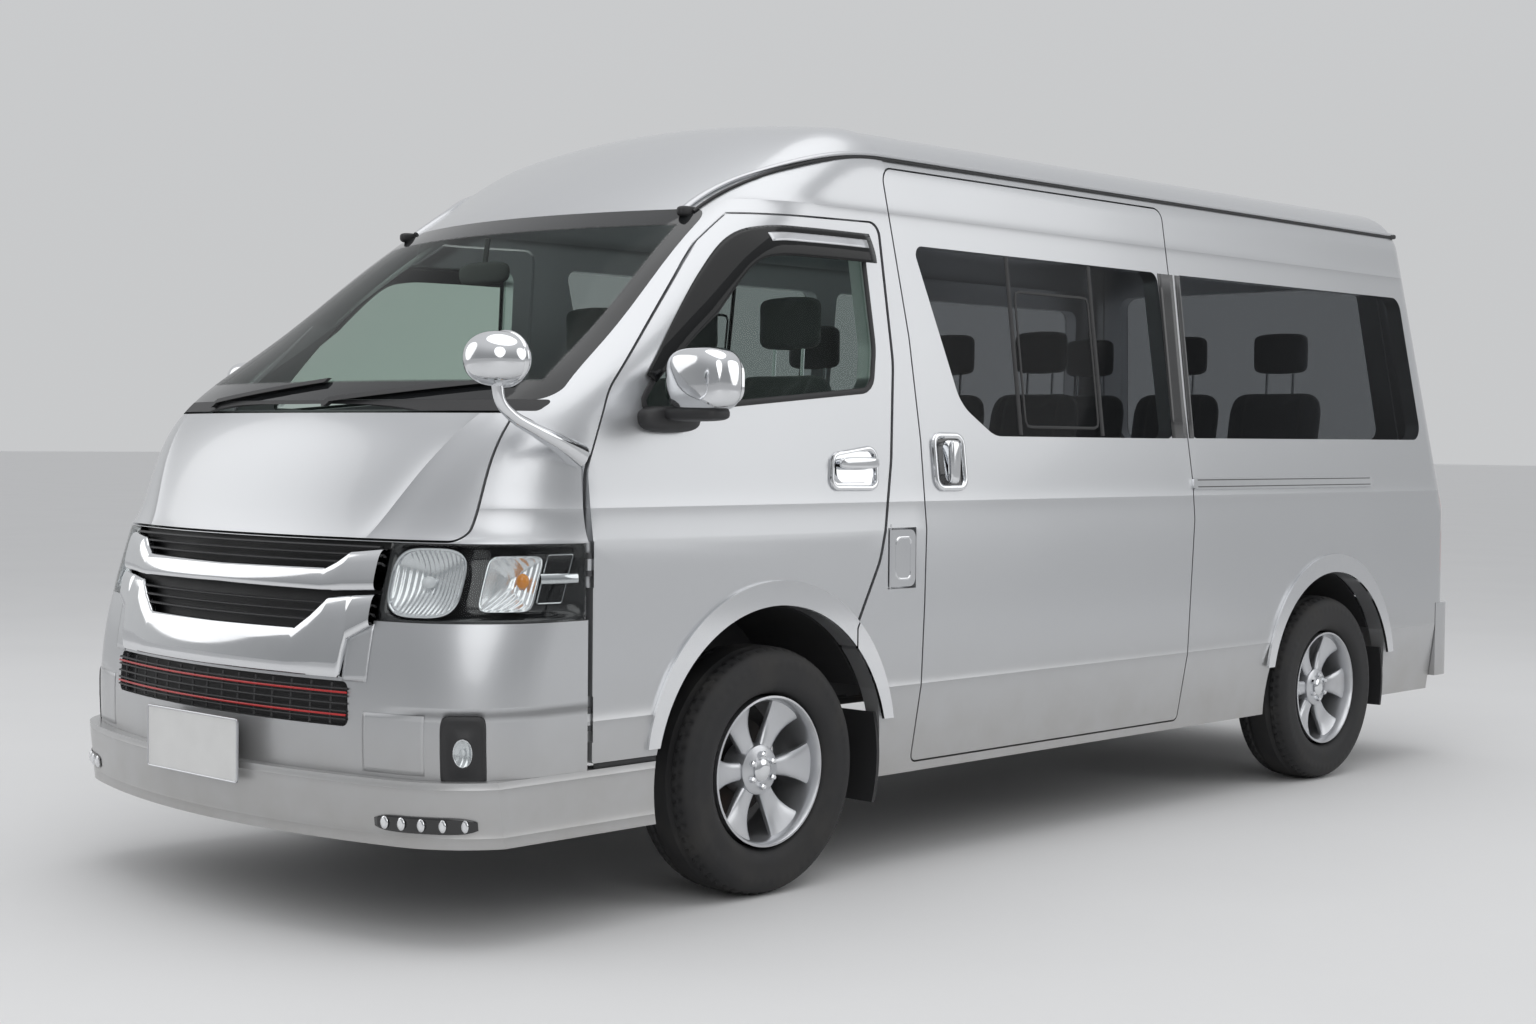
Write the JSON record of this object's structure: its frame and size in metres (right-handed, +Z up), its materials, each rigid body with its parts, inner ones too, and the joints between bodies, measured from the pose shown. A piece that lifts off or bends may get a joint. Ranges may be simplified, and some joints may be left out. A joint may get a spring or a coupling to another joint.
{
  "type": "passenger van",
  "caption": "High-roof passenger van with hinged front doors, lifting tailgate and bonnet, steered front wheels, rolling wheels, seats, dashboard and running gear.",
  "frame": {"origin": "on the ground below the middle of the van, half way along its length", "axes": "+Y points to the rear, so the van faces -Y; +X is its left side; +Z is up"},
  "size_m": [2.294, 5.4199, 2.2858],
  "materials": {
    "body_paint": "silver metallic under clear coat",
    "clear_glass": "clear, slightly green",
    "dark_glass": "dark privacy glass",
    "bright_metal": "polished plating",
    "tyre_rubber": "matte black",
    "alloy": "painted silver",
    "seat_cloth": "woven grey cloth",
    "lamp_clear": "clear lens over bright reflectors",
    "lamp_red": "red lens",
    "inner_paint": "dull",
    "chassis_steel": "painted black",
    "black_rubber": "matte black",
    "black_plastic": "grained black"
  },
  "bodies": {
    "body": {"body_side_left": "body_paint", "body_side_right": "body_paint", "bright_trim": "bright_metal", "bulkhead": "inner_paint", "bumper_front": "body_paint", "bumper_rear": "body_paint", "corner_mirror": "bright_metal", "cowl": "black_plastic", "dashboard": "black_plastic", "engine": "chassis_steel", "exhaust": "chassis_steel", "floor": "inner_paint", "front_lamps": "lamp_clear", "front_suspension": "chassis_steel", "fuel_tank": "chassis_steel", "grille": "black_plastic", "grille_bars": "bright_metal", "leaf_springs": "chassis_steel", "lip_spoiler": "body_paint", "mud_flaps": "black_rubber", "rear_axle": "chassis_steel", "roof": "body_paint", "seat_bases": "inner_paint", "seats_front": "seat_cloth", "seats_rear": "seat_cloth", "side_glass_left": "dark_glass", "side_glass_right": "dark_glass", "sliding_door": "body_paint", "spare_wheel": "tyre_rubber", "tail_lamps": "lamp_red", "wheel_housings": "black_plastic", "windscreen": "clear_glass", "wipers": "black_plastic"},
    "door_left": {"door_left": "body_paint", "door_glass_left": "clear_glass", "door_mirror_left": "bright_metal", "door_bright_left": "bright_metal"},
    "door_right": {"door_right": "body_paint", "door_glass_right": "clear_glass", "door_mirror_right": "bright_metal", "door_bright_right": "bright_metal"},
    "tailgate": {"tailgate": "body_paint", "tailgate_glass": "dark_glass"},
    "bonnet": {"bonnet": "body_paint"},
    "fuel_flap": {"fuel_flap": "bright_metal"},
    "knuckle_left": {"knuckle_left": "chassis_steel"},
    "knuckle_right": {"knuckle_right": "chassis_steel"},
    "wheel_front_left": {"tyre_front_left": "tyre_rubber", "wheel_front_left": "alloy"},
    "wheel_front_right": {"tyre_front_right": "tyre_rubber", "wheel_front_right": "alloy"},
    "wheel_rear_left": {"tyre_rear_left": "tyre_rubber", "wheel_rear_left": "alloy"},
    "wheel_rear_right": {"tyre_rear_right": "tyre_rubber", "wheel_rear_right": "alloy"},
    "steering_wheel": {"steering_wheel": "black_plastic"}
  },
  "joints": [
    {"name": "door_left_hinge", "type": "hinge", "parent": "body", "child": "door_left", "pos_m": [0.925, -2.133, 0.76], "axis": [0, 0, -1], "range_deg": [0, 68]},
    {"name": "door_right_hinge", "type": "hinge", "parent": "body", "child": "door_right", "pos_m": [-0.925, -2.133, 0.76], "axis": [0, 0, 1], "range_deg": [0, 68]},
    {"name": "tailgate_hinge", "type": "hinge", "parent": "body", "child": "tailgate", "pos_m": [0, 2.46355, 2.113], "axis": [1, 0, 0], "range_deg": [0, 85]},
    {"name": "bonnet_hinge", "type": "hinge", "parent": "body", "child": "bonnet", "pos_m": [0, -2.38969, 1.3353], "axis": [-1, 0, 0], "range_deg": [0, 55]},
    {"name": "fuel_flap_hinge", "type": "hinge", "parent": "body", "child": "fuel_flap", "pos_m": [0.937, -0.95, 0.937], "axis": [0, 0, -1], "range_deg": [0, 80]},
    {"name": "steer_left", "type": "hinge", "parent": "body", "child": "knuckle_left", "pos_m": [0.7205, -1.44, 0.352], "axis": [0, 0, 1], "range_deg": [-33, 33]},
    {"name": "steer_right", "type": "hinge", "parent": "body", "child": "knuckle_right", "pos_m": [-0.7205, -1.44, 0.352], "axis": [0, 0, 1], "range_deg": [-33, 33]},
    {"name": "spin_front_left", "type": "hinge", "parent": "knuckle_left", "child": "wheel_front_left", "pos_m": [0.8275, -1.44, 0.352], "axis": [1, 0, 0], "continuous": true},
    {"name": "spin_front_right", "type": "hinge", "parent": "knuckle_right", "child": "wheel_front_right", "pos_m": [-0.8275, -1.44, 0.352], "axis": [1, 0, 0], "continuous": true},
    {"name": "spin_rear_left", "type": "hinge", "parent": "body", "child": "wheel_rear_left", "pos_m": [0.825, 1.67, 0.352], "axis": [1, 0, 0], "continuous": true},
    {"name": "spin_rear_right", "type": "hinge", "parent": "body", "child": "wheel_rear_right", "pos_m": [-0.825, 1.67, 0.352], "axis": [1, 0, 0], "continuous": true},
    {"name": "steering_turn", "type": "hinge", "parent": "body", "child": "steering_wheel", "pos_m": [-0.43, -1.69, 1.185], "axis": [0, 0.6428, 0.766], "range_deg": [-500, 500]}
  ],
  "couplings": [
    {"joint": "steer_right", "follows": "steer_left", "ratio": 1},
    {"joint": "steering_turn", "follows": "steer_left", "ratio": 15}
  ]
}
